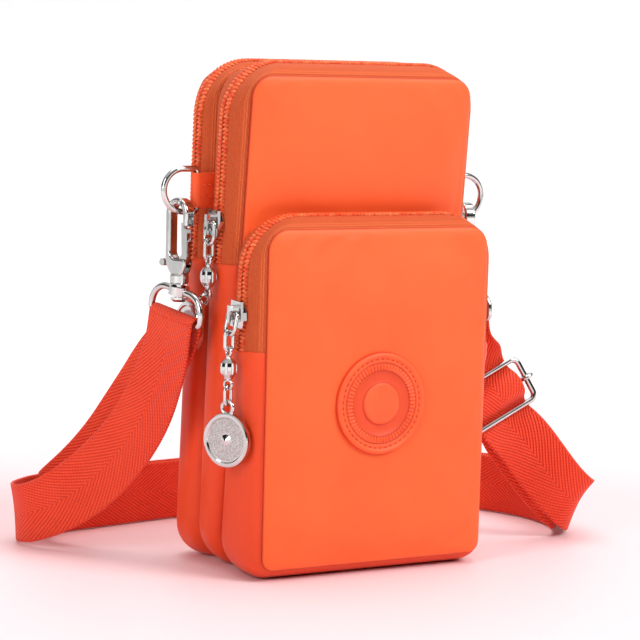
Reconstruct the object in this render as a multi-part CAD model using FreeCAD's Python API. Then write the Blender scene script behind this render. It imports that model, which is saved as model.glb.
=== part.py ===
import FreeCAD, Part
import math
import os

V = FreeCAD.Vector
os.makedirs("parts", exist_ok=True)

# Upright phone pouch with three zipped compartments and a webbing strap, in millimetres.
# X points right seen from the front, the front faces -Y, Z is up, the floor is Z = 0.

# Compartments: every seam is a rounded rectangle in a plane that leans with height, y = foot + lean * z,
# given as foot, lean and the radius of the outline's lower corners; between its seams a band swells out, its
# upper corners grow rounder by the spread, and the floor presses its base flat
PANEL_W = 100.0
SEAM_Z = 4.4
TALL_TOP = 194.0
POCKET_TOP = 135.5
TOP_R = 11.0
TOP_SPREAD = 1.3
SMALLEST_R = 2.0
SWELL = 4.5
FLAT_SHARE = 0.2
GUSSET_T = 1.2
EDGE_T = 0.8
BACK_SEAM = (35.1, -0.052, 9.0)
REAR_FRONT_SEAM = (16.1, -0.0424, 14.0)
MID_FRONT_SEAM = (0.6, -0.095, 11.0)
POCKET_FRONT_SEAM = (-32.2, 0.0, 5.0)
MID_ZIP_END = 120.0
POCKET_ZIP_END = 88.0
PANEL_CROWN = 1.8
PAD_STEPS = ((5.0, 0.0), (9.0, 1.2), (16.0, 1.8))
PAD_OVER_POCKET = 6.0

# Nylon coil zips
TAPE_T = 0.7
COIL_W = 2.6
COIL_H = 1.1
COIL_GAP = 1.0

# Badge on the pocket
BADGE_D = 40.0
BADGE_T = 1.8
BADGE_Z = 67.5
BADGE_RIDGES = 60
MILLED_R, MILLED_W = 15.7, 2.7

# Side tabs and D-rings
TAB_W = 13.5
TAB_CLOTH = 1.0
LEFT_TAB_Z = 148.0
RIGHT_TAB_Z = 145.0
LEFT_RING_BAR, RIGHT_RING_BAR = 58.8, 61.0
LEFT_RING_STRAIGHT, RIGHT_RING_STRAIGHT = 6.0, 5.4
RING_WIRE = 1.25
RING_HALF = 8.3
RING_CORNER = 1.5
TAB_EYE_GAP = 0.2

# Swivel snap hooks
LEFT_HOOK_X, RIGHT_HOOK_X = 65.7, 67.6
HOOK_DROP = 38.9
HOOK_T = 4.6
HOOK_GATE_T = 2.0
PIN_X, PIN_Z, PIN_R = 2.8, 10.8, 0.9
EYE_WIRE = 1.4
EYE_HALF_W = 14.5
EYE_H = 11.0
EYE_TILT = 10.0
LEFT_HOOK_TURN = -76.0
RIGHT_HOOK_TURN = -104.0
RIGHT_EYE_TURN = -76.0

# Zip sliders and their chains, heights of the three sliders on the sides of the pouch
REAR_SLIDER_Z = 136.0
MID_SLIDER_Z = 136.0
POCKET_SLIDER_Z = 102.7
PULL_WIRE = 0.75
PULL_L = 8.4
PULL_W = 7.0
BRIDGE_Z = 0.4
BRIDGE_OUT = 3.9
LINK_WIRE = 0.7
LINK_L = 7.6
LINK_R = 1.7
EYELET_WIRE = 0.55
EYELET_R = 1.7
BEAD_R = 3.2
BEAD_L = 7.0
CHARM_RING_WIRE = 0.6
CHARM_RING_L = 7.4
CHARM_RING_R = 2.0
CHARM_R = 10.4
CHARM_T = 2.6
CHARM_LOOP_R = 2.5
CHARM_LOOP_WIRE = 0.75
SLACK = 0.1

# Strap of flat webbing and its adjuster
STRAP_W = 25.0
STRAP_T = 1.4
FOLD_GAP = 0.3
SECTIONS_PER_POINT = 3
ADJUSTER = V(82.5, 6.0, 61.0)
ADJUSTER_ALONG = V(0.42, -0.25, -0.87)
ADJUSTER_ACROSS = V(-0.88, 0.1, -0.46)
ADJUSTER_WIRE = 1.3
ADJUSTER_HALF_W = 16.4
ADJUSTER_HALF_L = 9.5
BAR_WIRE = 1.0


# Small helpers


def export(name, shape):
    shape.exportStep(f"parts/{name}.step")


def turned(shape, axis, degrees, centre=V(0, 0, 0)):
    """A copy of the shape turned about an axis through a centre."""
    copy = shape.copy()
    copy.rotate(centre, axis, degrees)
    return copy


def moved(shape, x=0, y=0, z=0):
    """A copy of the shape moved by x, y and z."""
    copy = shape.copy()
    copy.translate(V(x, y, z))
    return copy


def chain_of(points, closed=True):
    """A wire of straight edges through points."""
    return Part.makePolygon(points + points[:1] if closed else points)


def rounded(x0, x1, z0, z1, r_low, r_high):
    """A closed rounded rectangle in the XZ plane."""
    corners = [
        (x1 - r_low, z0 + r_low, r_low, -90),
        (x1 - r_high, z1 - r_high, r_high, 0),
        (x0 + r_high, z1 - r_high, r_high, 90),
        (x0 + r_low, z0 + r_low, r_low, 180),
    ]
    edges, last = [], V(x0 + r_low, 0, z0)
    for cx, cz, r, start in corners:
        turn = [math.radians(start + step) for step in (0, 45, 90)]
        first, middle, end = (V(cx + r * math.cos(t), 0, cz + r * math.sin(t)) for t in turn)
        edges.append(Part.LineSegment(last, first).toShape())
        edges.append(Part.Arc(first, middle, end).toShape())
        last = end
    return Part.Wire(edges)


def stadium(top, bottom, r):
    """A closed loop in the XZ plane with half-round ends, from height top to height bottom."""
    high, low = top - r, bottom + r
    return Part.Wire([
        Part.LineSegment(V(r, 0, low), V(r, 0, high)).toShape(),
        Part.Arc(V(r, 0, high), V(0, 0, top), V(-r, 0, high)).toShape(),
        Part.LineSegment(V(-r, 0, high), V(-r, 0, low)).toShape(),
        Part.Arc(V(-r, 0, low), V(0, 0, bottom), V(r, 0, low)).toShape(),
    ])


def tube(wire, radius):
    """A round wire bent along a closed path."""
    edge = wire.Edges[0]
    start = edge.valueAt(edge.FirstParameter)
    profile = Part.Wire(Part.makeCircle(radius, start, edge.tangentAt(edge.FirstParameter)))
    return wire.makePipeShell([profile], True, False)


def rod(radius, start, end):
    """A round bar between two points."""
    return Part.makeCylinder(radius, (end - start).Length, start, end - start)


def block(x0, x1, y0, y1, z0, z1):
    return Part.makeBox(x1 - x0, y1 - y0, z1 - z0, V(x0, y0, z0))


def spun(points):
    """A solid turned about the Z axis from points of radius and height."""
    face = Part.Face(chain_of([V(r, 0, z) for r, z in points]))
    return face.revolve(V(0, 0, 0), V(0, 0, 1), 360)


def plate(points, thickness):
    """A flat plate from points of x and z, centred on Y = 0."""
    face = Part.Face(chain_of([V(x, -thickness / 2, z) for x, z in points]))
    return face.extrude(V(0, thickness, 0))


# Compartments


def seam_y(plane, z):
    return plane[0] + plane[1] * z


def between(back, front, share):
    return tuple(b + (f - b) * share for b, f in zip(back, front))


def ahead(plane, distance):
    """The plane moved forward by a distance."""
    return (plane[0] - distance,) + plane[1:]


def laid(wire, plane):
    """A wire of the XZ plane, leaned and moved into a seam plane."""
    wire.rotate(V(0, 0, 0), V(1, 0, 0), -math.degrees(math.atan(plane[1])))
    wire.translate(V(0, plane[0], 0))
    return wire


def outline(top, plane, grow, swelling=0):
    """A compartment's seam outline, grown outwards and laid in its leaning plane."""
    half = PANEL_W / 2 + grow
    low_r, high_r = (max(r + grow, SMALLEST_R) for r in (plane[2], TOP_R + TOP_SPREAD * swelling))
    return laid(rounded(-half, half, SEAM_Z - grow, top + grow, low_r, high_r), plane)


def band(top, sections):
    """A ring round a compartment from sections of plane, swelling and the heights of its skins over that."""
    inner = [outline(top, plane, out + low, out) for plane, out, low, _ in sections]
    outer = [outline(top, plane, out + high, out) for plane, out, _, high in sections]
    return Part.makeLoft(outer, True, True).cut(Part.makeLoft(inner, True, True))


def swell(share):
    """How far a band stands out of its seams, at a share of its width."""
    off_middle = max(0, abs(2 * share - 1) - FLAT_SHARE) / (1 - FLAT_SHARE)
    return SWELL * (1 - off_middle ** 2)


def above(shape, z):
    return shape.common(block(-200, 200, -200, 200, z, 400))


def below(shape, z):
    """What lies between the floor and a height."""
    return shape.common(block(-200, 200, -200, 200, 0, z))


def compartment(name, back, front, top, zip_end):
    """The gusset, the zip tapes and the coil of one compartment."""
    half_flat = FLAT_SHARE / 2
    shares = (0, 0.2, 0.5 - half_flat, 0.5 + half_flat, 0.8, 1)
    gusset = band(top, [(between(back, front, s), swell(s), -GUSSET_T, 0) for s in shares])
    export(f"{name}_gusset", below(gusset, zip_end))

    centre = between(back, front, 0.5)
    width = seam_y(back, zip_end) - seam_y(front, zip_end)
    coils = []
    for side, seam, sign in (("back", back, -1), ("front", front, 1)):
        steps = [COIL_GAP / 2 + COIL_W * s for s in (1, 0.5, 0)]
        rows = [(ahead(centre, sign * d), swell(0.5 - d / width)) for d in steps]
        quarter = (between(seam, centre, 0.45), swell(0.225))
        tape = [(plane, out, -TAPE_T, 0) for plane, out in [(seam, 0), quarter] + rows]
        export(f"{name}_zip_tape_{side}", above(band(top, tape), zip_end))
        heights = (COIL_H * 0.35, COIL_H, COIL_H * 0.7)
        bead = [(plane, out, 0, h) for (plane, out), h in zip(rows, heights)]
        coils.append(above(band(top, bead), zip_end))
    export(f"{name}_zip_coil", Part.makeCompound(coils))


def panel(top, plane, forward, crown=PANEL_CROWN):
    """A padded panel on a seam plane that crowns outwards, forwards or backwards."""
    sign = 1 if forward else -1
    steps = [(0, 0), (EDGE_T, 0), (EDGE_T + crown * 0.6, -5), (EDGE_T + crown, -16)]
    return Part.makeLoft([outline(top, ahead(plane, sign * d), g) for d, g in steps], True, True)


def flat_panel(top, plane):
    """A panel of cloth, even in thickness, in front of a seam plane."""
    return Part.makeLoft([outline(top, plane, 0), outline(top, ahead(plane, EDGE_T), 0)], True, True)


def front_panel():
    """The front of the middle compartment, padded where it shows above the pocket."""
    cloth = flat_panel(TALL_TOP, MID_FRONT_SEAM)
    pads = []
    for inset, out in PAD_STEPS:
        half = PANEL_W / 2 - inset
        wire = rounded(-half, half, POCKET_TOP + PAD_OVER_POCKET + inset, TALL_TOP - inset, 4, 6)
        pads.append(laid(wire, ahead(MID_FRONT_SEAM, EDGE_T + out)))
    return cloth.fuse(Part.makeLoft(pads, True, True))


def badge():
    """A round moulded badge: a soft rim, a milled ring and a plain raised middle."""
    r = BADGE_D / 2
    field = BADGE_T - 0.7
    profile = [(0, 0), (r, 0), (r, 1.0), (r - 0.7, BADGE_T), (r - 1.8, BADGE_T), (r - 2.6, field),
               (8.4, field), (7.9, BADGE_T - 0.1), (7.2, BADGE_T), (0, BADGE_T)]
    disc = spun(profile)
    teeth = []
    for i in range(BADGE_RIDGES):
        for lead, radius in ((0, MILLED_R), (0.5, MILLED_R - 1.0)):
            turn = 2 * math.pi * (i + lead) / BADGE_RIDGES
            teeth.append(V(radius * math.cos(turn), radius * math.sin(turn), field - 0.1))
    milled = Part.Face(chain_of(teeth)).extrude(V(0, 0, BADGE_T - field - 0.1))
    ring = milled.cut(Part.makeCylinder(MILLED_R - MILLED_W, BADGE_T * 2))
    front = POCKET_FRONT_SEAM[0] - EDGE_T - PANEL_CROWN
    flat = turned(disc.fuse(ring), V(1, 0, 0), 90)
    return moved(flat, y=front, z=BADGE_Z)


# Side hardware


def tab_y(z):
    return seam_y(REAR_FRONT_SEAM, z) - EDGE_T / 2


def tab(side, z, bar_x):
    """A folded cloth tab, sewn in the side seam, with an eye for the D-ring's bar."""
    y = tab_y(z)
    eye_r = RING_WIRE + TAB_EYE_GAP
    low, high = z - TAB_W / 2, z + TAB_W / 2
    root = block(PANEL_W / 2 + 1.3, bar_x - 1, y - TAB_CLOTH, y + TAB_CLOTH, low, high)
    cloth = root.fuse(Part.makeCylinder(eye_r + TAB_CLOTH, TAB_W, V(bar_x, y, low)))
    cloth = cloth.cut(Part.makeCylinder(eye_r, TAB_W + 2, V(bar_x, y, low - 1)))
    return cloth if side > 0 else cloth.mirror(V(0, 0, 0), V(1, 0, 0))


def d_ring(side, z, bar_x, straight):
    """A D of round wire, with its bar in the tab and its bow pointing outwards."""
    y, h, r = tab_y(z), RING_HALF, RING_CORNER
    x0, x1 = bar_x, bar_x + straight
    c = r * (1 - math.sqrt(0.5))
    path = Part.Wire([
        Part.LineSegment(V(x0, y, z - h + r), V(x0, y, z + h - r)).toShape(),
        Part.Arc(V(x0, y, z + h - r), V(x0 + c, y, z + h - c), V(x0 + r, y, z + h)).toShape(),
        Part.LineSegment(V(x0 + r, y, z + h), V(x1, y, z + h)).toShape(),
        Part.Arc(V(x1, y, z + h), V(x1 + h, y, z), V(x1, y, z - h)).toShape(),
        Part.LineSegment(V(x1, y, z - h), V(x0 + r, y, z - h)).toShape(),
        Part.Arc(V(x0 + r, y, z - h), V(x0 + c, y, z - h + c), V(x0, y, z - h + r)).toShape(),
    ])
    ring = tube(path, RING_WIRE)
    return ring if side > 0 else ring.mirror(V(0, 0, 0), V(1, 0, 0))


def hook_body():
    """The claw, its collar and the riveted swivel post; the post's middle is the origin, +X the gate side."""
    claw_z, outer, inner = 29.9, 6.2, 3.6
    profile = Part.Wire([
        Part.LineSegment(V(3.0, 0, 6.2), V(-3.0, 0, 6.2)).toShape(),
        Part.Arc(V(-3.0, 0, 6.2), V(-5.3, 0, 9.2), V(-outer, 0, 13.0)).toShape(),
        Part.LineSegment(V(-outer, 0, 13.0), V(-outer, 0, claw_z)).toShape(),
        Part.Arc(V(-outer, 0, claw_z), V(0, 0, claw_z + outer), V(outer, 0, claw_z)).toShape(),
        Part.LineSegment(V(outer, 0, claw_z), V(outer - 0.3, 0, 25.4)).toShape(),
        Part.LineSegment(V(outer - 0.3, 0, 25.4), V(inner + 0.2, 0, 25.0)).toShape(),
        Part.LineSegment(V(inner + 0.2, 0, 25.0), V(inner, 0, claw_z)).toShape(),
        Part.Arc(V(inner, 0, claw_z), V(0, 0, claw_z + inner), V(-inner, 0, claw_z)).toShape(),
        Part.LineSegment(V(-inner, 0, claw_z), V(-inner, 0, 15.5)).toShape(),
        Part.Arc(V(-inner, 0, 15.5), V(-2.7, 0, 13.3), V(-0.5, 0, 12.4)).toShape(),
        Part.LineSegment(V(-0.5, 0, 12.4), V(4.9, 0, 12.4)).toShape(),
        Part.Arc(V(4.9, 0, 12.4), V(4.8, 0, 9.0), V(3.0, 0, 6.2)).toShape(),
    ])
    blank = Part.Face(moved(profile, y=-HOOK_T / 2)).extrude(V(0, HOOK_T, 0))
    rims = [e for e in blank.Edges if abs(abs(e.CenterOfMass.y) - HOOK_T / 2) < 0.01 and e.CenterOfMass.z > 7]
    blank = blank.makeFillet(0.9, rims)
    slot = block(-8, 8, -HOOK_GATE_T / 2 - 0.2, HOOK_GATE_T / 2 + 0.2, 7.0, 13.6)
    bore = rod(PIN_R, V(PIN_X, -4, PIN_Z), V(PIN_X, 4, PIN_Z))
    swivel = spun([(0, -4.4), (2.2, -4.4), (3.3, -3.4), (3.3, -2.6), (1.7, -2.6), (1.7, 2.5), (3.2, 2.5),
                   (3.7, 3.2), (3.7, 5.8), (3.2, 6.6), (0, 6.6)])
    return blank.cut(slot).cut(bore).fuse(swivel)


def hook_gate():
    """The sprung gate on its pin, with the thumb knob at the other end."""
    profile = [(PIN_X + 1.9, PIN_Z - 0.6), (5.1, 15.0), (5.1, 24.0), (3.2, 24.5), (3.1, 26.5), (1.7, 26.5),
               (2.2, 14.2), (0.2, 11.9), (-7.2, 11.5), (-7.2, 9.7), (0.8, 9.2), (PIN_X, PIN_Z - 1.9)]
    arm = plate(profile, HOOK_GATE_T)
    knob = rod(1.5, V(-7.9, -2.2, 10.6), V(-7.9, 2.2, 10.6))
    bore = rod(PIN_R + 0.05, V(PIN_X, -4, PIN_Z), V(PIN_X, 4, PIN_Z))
    return arm.fuse(knob).cut(bore)


def hook_pin():
    return rod(PIN_R, V(PIN_X, -HOOK_T / 2, PIN_Z), V(PIN_X, HOOK_T / 2, PIN_Z))


def hook_eye():
    """The wide eye that takes the strap and turns on the hook's post."""
    bow_r, corner_r = 8.0, 2.0
    path = rounded(-EYE_HALF_W, EYE_HALF_W, -EYE_H, 0, corner_r, bow_r - 0.01)
    boss = Part.makeCylinder(4.0, 3.4, V(0, 0, -1.7))
    bore = Part.makeCylinder(2.6, 10, V(0, 0, -5))
    return tube(path, EYE_WIRE).fuse(boss).cut(bore)


def hook_base(x, z):
    """Where the middle of a hook's swivel post is."""
    return V(x, tab_y(z), z - HOOK_DROP)


def hang(shape, base, turn, tilt=0):
    """Tilt a piece in its own plane, turn it about the hook's axis and put it on its base."""
    tilted = turned(shape, V(0, 1, 0), tilt)
    spun_round = turned(tilted, V(0, 0, 1), turn)
    return moved(spun_round, *base)


# Zip sliders and chains, made facing -Y and turned to the side of the pouch


def slider_body():
    """The two plates of a slider, their neck, their lips and the bridge for the pull."""
    shield = [(-3.7, 5.0), (3.7, 5.0), (4.6, -2.0), (3.9, -5.0), (-3.9, -5.0), (-4.6, -2.0)]
    top = moved(plate(shield, 1.1), y=-2.35)
    base = moved(plate([(-2.4, 4.6), (2.4, 4.6), (2.4, -4.6), (-2.4, -4.6)], 0.9), y=1.95)
    neck = block(-0.3, 0.3, -2.0, 1.7, -4.2, -1.4)
    lips = [[(s * x, z) for x, z in ((3.6, 3.4), (4.3, 1.0), (4.6, -2.0), (3.75, -2.0))] for s in (-1, 1)]
    arch = plate([(-1.0, 3.4), (1.0, 3.4), (1.0, -3.0), (-1.0, -3.0)], 3.2)
    window = block(-2, 2, -4.95, -2.5, -2.0, 2.4)
    bridge = moved(arch, y=-4.4).cut(window)
    solid = top.fuse([base, neck, bridge] + [moved(plate(lip, 1.6), y=-1.1) for lip in lips])
    return solid.removeSplitter()


def pull_frame():
    """The wire pull that hangs on the bridge; the origin is the middle of its upper bar."""
    half = PULL_W / 2
    return tube(rounded(-half, half, -PULL_L, 0, 2.6, 1.2), PULL_WIRE)


# Heights along a hanging chain, from the lower bar of the pull
LINK_TOP = PULL_WIRE + LINK_WIRE + SLACK
LINK_LOW = LINK_TOP - LINK_L
EYELET_Z = LINK_LOW + LINK_WIRE + EYELET_WIRE + SLACK - EYELET_R
BEAD_TOP = EYELET_Z - EYELET_R - 1.1
BEAD_LOW = BEAD_TOP - BEAD_L
LOWER_EYELET_Z = BEAD_LOW - 2.8
CHARM_RING_TOP = LOWER_EYELET_Z - EYELET_R + EYELET_WIRE + CHARM_RING_WIRE + SLACK
CHARM_RING_LOW = CHARM_RING_TOP - CHARM_RING_L
CHARM_LOOP_Z = CHARM_RING_LOW + CHARM_RING_WIRE + CHARM_LOOP_WIRE + SLACK - CHARM_LOOP_R
CHARM_Z = CHARM_LOOP_Z - CHARM_LOOP_R - CHARM_R + 0.4


def eyelet(z):
    """A small wire ring facing outwards."""
    return Part.makeTorus(EYELET_R, EYELET_WIRE, V(0, 0, z), V(0, 1, 0))


def side_ring(top, low, r, wire):
    """An oval ring that stands edge outwards."""
    return turned(tube(stadium(top, low, r), wire), V(0, 0, 1), 90)


def swivel_bead():
    """A barrel swivel with a caged waist, hung on its upper eyelet."""
    t, b, r = BEAD_TOP, BEAD_LOW, BEAD_R
    barrel = spun([(0, t + 1.2), (1.0, t + 1.2), (1.0, t + 0.2), (1.8, t), (2.9, t - 1.4), (r, t - 2.8),
                   (r, t - 4.2), (2.9, t - 5.6), (1.9, b), (1.7, b - 0.6), (0, b - 0.6)])
    groove = Part.makeCylinder(0.55, BEAD_L - 2.6, V(r + 0.1, 0, b + 1.3))
    grooves = [turned(groove, V(0, 0, 1), 45 * i) for i in range(8)]
    bore = Part.makeCylinder(0.85, 3.2, V(0, 0, b - 1.2))
    chamber = Part.makeCylinder(1.7, 2.4, V(0, 0, b + 2.0))
    return barrel.cut(grooves).cut([bore, chamber]).fuse(eyelet(EYELET_Z))


def swivel_eyelet():
    """The lower eyelet, with a headed stem that turns in the bead."""
    z, b = LOWER_EYELET_Z, BEAD_LOW
    stem = spun([(0, b + 4.0), (1.4, b + 3.8), (1.4, b + 2.4), (0.75, b + 2.4), (0.75, z + EYELET_R - 0.2),
                 (0, z + EYELET_R - 0.2)])
    return stem.fuse(eyelet(z))


def charm():
    """A coin with a raised rim and a small cone in the middle of each face, hung on its loop."""
    r, t = CHARM_R, CHARM_T / 2
    half = [(0, t + 0.3), (2.3, t - 0.6), (r - 2.0, t - 0.6), (r - 1.5, t), (r - 0.4, t), (r, t - 0.4)]
    profile = half + [(x, -z) for x, z in reversed(half)]
    coin = moved(turned(spun(profile), V(1, 0, 0), 90), z=CHARM_Z)
    loop = Part.makeTorus(CHARM_LOOP_R, CHARM_LOOP_WIRE, V(0, 0, CHARM_LOOP_Z), V(0, 1, 0))
    return coin.fuse(loop)


def zip_line(back, front, z):
    """The middle of a zip on the side of the pouch at a height: distance out from X = 0, and Y."""
    return PANEL_W / 2 + SWELL, seam_y(between(back, front, 0.5), z)


def place_chain(name, side, seams, z, lift, yaw, swing):
    """Put a slider and its chain on the left or right side: lift of the pull, turn and swing of the charm."""
    out, y = zip_line(*seams, z)
    lean = math.degrees(math.atan(between(*seams, 0.5)[1]))
    low_bar = V(0, -BRIDGE_OUT - PULL_L * math.sin(math.radians(lift)),
                BRIDGE_Z - PULL_L * math.cos(math.radians(lift)))
    bridge = V(0, -BRIDGE_OUT, BRIDGE_Z)

    def on_side(shape):
        return moved(turned(shape, V(0, 0, 1), 90 * side), side * out, y, z)

    def hanging(shape):
        return on_side(moved(shape, *low_bar))

    def charm_end(shape):
        swung = turned(shape, V(0, 1, 0), swing, V(0, 0, LOWER_EYELET_Z))
        return hanging(turned(swung, V(0, 0, 1), yaw))

    export(f"{name}_slider", on_side(turned(slider_body(), V(0, 1, 0), lean * side)))
    export(f"{name}_pull", on_side(moved(turned(pull_frame(), V(1, 0, 0), -lift), *bridge)))
    export(f"{name}_link", hanging(side_ring(LINK_TOP, LINK_LOW, LINK_R, LINK_WIRE)))
    export(f"{name}_bead", hanging(swivel_bead()))
    export(f"{name}_eyelet", hanging(turned(swivel_eyelet(), V(0, 0, 1), yaw)))
    export(f"{name}_charm_ring",
           charm_end(side_ring(CHARM_RING_TOP, CHARM_RING_LOW, CHARM_RING_R, CHARM_RING_WIRE)))
    export(f"{name}_charm", charm_end(charm()))


# Strap: each route point has its place and the direction of the edge that lies on the floor

ADJUSTER_BACK = ADJUSTER_ALONG.cross(ADJUSTER_ACROSS).normalize()


def at_adjuster(along, back):
    return tuple(ADJUSTER + ADJUSTER_ALONG * along + ADJUSTER_BACK * back)


FLOOR_EDGE = (0, 0, -1)
ACROSS = tuple(ADJUSTER_ACROSS)

OUTER_RUN = [
    ((-68.5, 10.7, 98.2), (0.238, -0.956, -0.174)),
    ((-68.7, 11.6, 93.0), (0.238, -0.956, -0.174)),
    ((-68.9, 13.0, 85.0), (0.27, -0.94, -0.22)),
    ((-69.8, 16.4, 75.5), (0.32, -0.88, -0.34)),
    ((-71.5, 22.0, 62.5), (0.37, -0.78, -0.50)),
    ((-74.5, 30.0, 50.0), (0.40, -0.65, -0.65)),
    ((-79.5, 39.0, 38.0), (0.42, -0.50, -0.76)),
    ((-86.5, 48.0, 27.5), (0.42, -0.30, -0.86)),
    ((-95.0, 57.0, 19.0), (0.40, -0.10, -0.91)),
    ((-103.5, 67.0, 14.0), (0.30, 0.05, -0.95)),
    ((-103.0, 81.0, 12.9), (0.12, 0.12, -0.98)),
    ((-89.0, 93.0, 12.9), FLOOR_EDGE),
    ((-60.0, 99.0, 12.9), FLOOR_EDGE),
    ((-25.0, 106.0, 12.9), FLOOR_EDGE),
    ((15.0, 110.0, 12.9), FLOOR_EDGE),
    ((60.0, 106.0, 12.9), FLOOR_EDGE),
    ((100.0, 92.0, 12.9), FLOOR_EDGE),
    ((124.0, 68.0, 12.9), FLOOR_EDGE),
    ((131.0, 40.0, 12.9), FLOOR_EDGE),
    ((129.0, 12.0, 12.9), (-0.08, 0.25, -0.96)),
    ((119.0, -7.0, 14.0), (-0.20, 0.45, -0.87)),
    ((108.5, -7.0, 22.0), (-0.35, 0.42, -0.83)),
    ((101.0, -2.5, 33.0), (-0.50, 0.35, -0.79)),
    ((94.5, 1.5, 43.0), (-0.68, 0.25, -0.69)),
    (at_adjuster(12.5, 2.7), ACROSS),
    (at_adjuster(7.0, 2.7), ACROSS),
    (at_adjuster(3.5, -4.2), ACROSS),
    (at_adjuster(-3.5, -4.2), ACROSS),
    (at_adjuster(-7.0, 2.7), ACROSS),
    (at_adjuster(-12.5, 2.7), ACROSS),
    ((74.4, 11.3, 77.5), (-0.75, 0.50, -0.38)),
    ((71.0, 10.4, 84.0), (-0.50, 0.80, -0.20)),
    ((69.9, 10.1, 90.0), (-0.242, 0.970, 0.0)),
    ((69.9, 10.1, 95.0), (-0.242, 0.970, 0.0)),
]

INNER_RUN = [
    ((-63.8, 11.9, 98.2), (0.238, -0.956, -0.174)),
    ((-64.0, 12.8, 93.0), (0.238, -0.956, -0.174)),
    ((-65.2, 17.0, 86.5), (0.28, -0.92, -0.28)),
    ((-67.2, 25.0, 78.0), (0.32, -0.86, -0.38)),
    ((-68.5, 34.0, 67.5), (0.36, -0.77, -0.52)),
    ((-70.5, 44.0, 56.0), (0.39, -0.66, -0.64)),
    ((-74.0, 53.0, 43.0), (0.40, -0.50, -0.76)),
    ((-79.5, 62.0, 31.0), (0.38, -0.30, -0.87)),
    ((-86.0, 71.0, 21.0), (0.28, -0.10, -0.95)),
    ((-88.0, 82.0, 14.5), (0.12, 0.0, -0.99)),
    ((-78.0, 91.0, 12.9), FLOOR_EDGE),
    ((-58.0, 94.5, 12.9), FLOOR_EDGE),
    ((-25.0, 101.5, 12.9), FLOOR_EDGE),
    ((15.0, 105.5, 12.9), FLOOR_EDGE),
    ((58.0, 101.5, 12.9), FLOOR_EDGE),
    ((97.0, 88.0, 12.9), FLOOR_EDGE),
    ((119.5, 66.0, 12.9), FLOOR_EDGE),
    ((126.5, 40.0, 12.9), FLOOR_EDGE),
    ((124.5, 15.0, 12.9), (-0.08, 0.25, -0.96)),
    ((115.5, -2.0, 14.5), (-0.20, 0.45, -0.87)),
    ((106.0, -2.5, 22.5), (-0.35, 0.42, -0.83)),
    ((98.0, 2.5, 33.8), (-0.50, 0.35, -0.79)),
    ((91.8, 6.0, 44.0), (-0.68, 0.25, -0.69)),
    (at_adjuster(14.0, 5.6), ACROSS),
    (at_adjuster(8.0, 5.4), ACROSS),
    (at_adjuster(4.0, 2.0), ACROSS),
    (at_adjuster(0.1, 2.0), ACROSS),
]


def smooth(points):
    """A quadratic curve that starts and ends on its first and last points."""
    count = len(points)
    curve = Part.BSplineCurve()
    mults = [3] + [1] * (count - 3) + [3]
    curve.buildFromPolesMultsKnots(points, mults, list(range(count - 1)), False, 2)
    return curve


def webbing(route):
    """A flat ribbon along a route."""
    middle = smooth([V(*place) for place, _ in route])
    edge = smooth([V(*place) + V(*way).normalize() * STRAP_W / 2 for place, way in route])
    steps = SECTIONS_PER_POINT * (len(route) - 2)
    rings = []
    for i in range(steps + 1):
        u = middle.LastParameter * i / steps
        centre, along = middle.value(u), middle.tangent(u)[0]
        across = edge.value(u) - centre
        across = (across - along * across.dot(along)).normalize() * (STRAP_W / 2)
        out = along.cross(across).normalize() * (STRAP_T / 2)
        rings.append(chain_of([centre + across + out, centre - across + out,
                               centre - across - out, centre + across - out]))
    return Part.makeLoft(rings, True, True)


def fold(radius):
    """Webbing folded over a bar along X, open below."""
    ring = Part.makeCylinder(radius + STRAP_T, STRAP_W, V(-STRAP_W / 2, 0, 0), V(1, 0, 0))
    ring = ring.cut(Part.makeCylinder(radius, STRAP_W + 2, V(-STRAP_W / 2 - 1, 0, 0), V(1, 0, 0)))
    return ring.common(block(-50, 50, -50, 50, 0, 50))


def in_adjuster(shape):
    """From a frame with the bar along X and the front facing -Y to the adjuster's place."""
    x, y = ADJUSTER_ACROSS * -1, ADJUSTER_BACK
    x = (x - y * x.dot(y)).normalize()
    z = x.cross(y)
    base = FreeCAD.Matrix(x.x, y.x, z.x, ADJUSTER.x, x.y, y.y, z.y, ADJUSTER.y, x.z, y.z, z.z, ADJUSTER.z)
    return shape.transformed(base, True)


def adjuster_frame():
    w, h = ADJUSTER_HALF_W, ADJUSTER_HALF_L
    return tube(rounded(-w, w, -h, h, 3.0, 3.0), ADJUSTER_WIRE)


def adjuster_bar():
    """The loose middle bar, curled round the sides of the frame."""
    curl_r = ADJUSTER_WIRE + BAR_WIRE + 0.4
    reach = ADJUSTER_HALF_W - curl_r
    ends = [V(s * ADJUSTER_HALF_W, 0, 0) for s in (-1, 1)]
    curls = [Part.makeTorus(curl_r, BAR_WIRE * 0.85, end, V(0, 0, 1)) for end in ends]
    return rod(BAR_WIRE, V(-reach, 0, 0), V(reach, 0, 0)).fuse(curls)


# The pouch


REAR = (BACK_SEAM, REAR_FRONT_SEAM)
MID = (ahead(REAR_FRONT_SEAM, EDGE_T), MID_FRONT_SEAM)
POCKET = (ahead(MID_FRONT_SEAM, EDGE_T), POCKET_FRONT_SEAM)

compartment("rear", *REAR, TALL_TOP, MID_ZIP_END)
compartment("mid", *MID, TALL_TOP, MID_ZIP_END)
compartment("pocket", *POCKET, POCKET_TOP, POCKET_ZIP_END)
export("back_panel", panel(TALL_TOP, BACK_SEAM, False))
export("divider_panel", flat_panel(TALL_TOP, REAR_FRONT_SEAM))
export("front_panel", front_panel())
export("pocket_panel", panel(POCKET_TOP, POCKET_FRONT_SEAM, True))
export("badge", badge())

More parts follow.
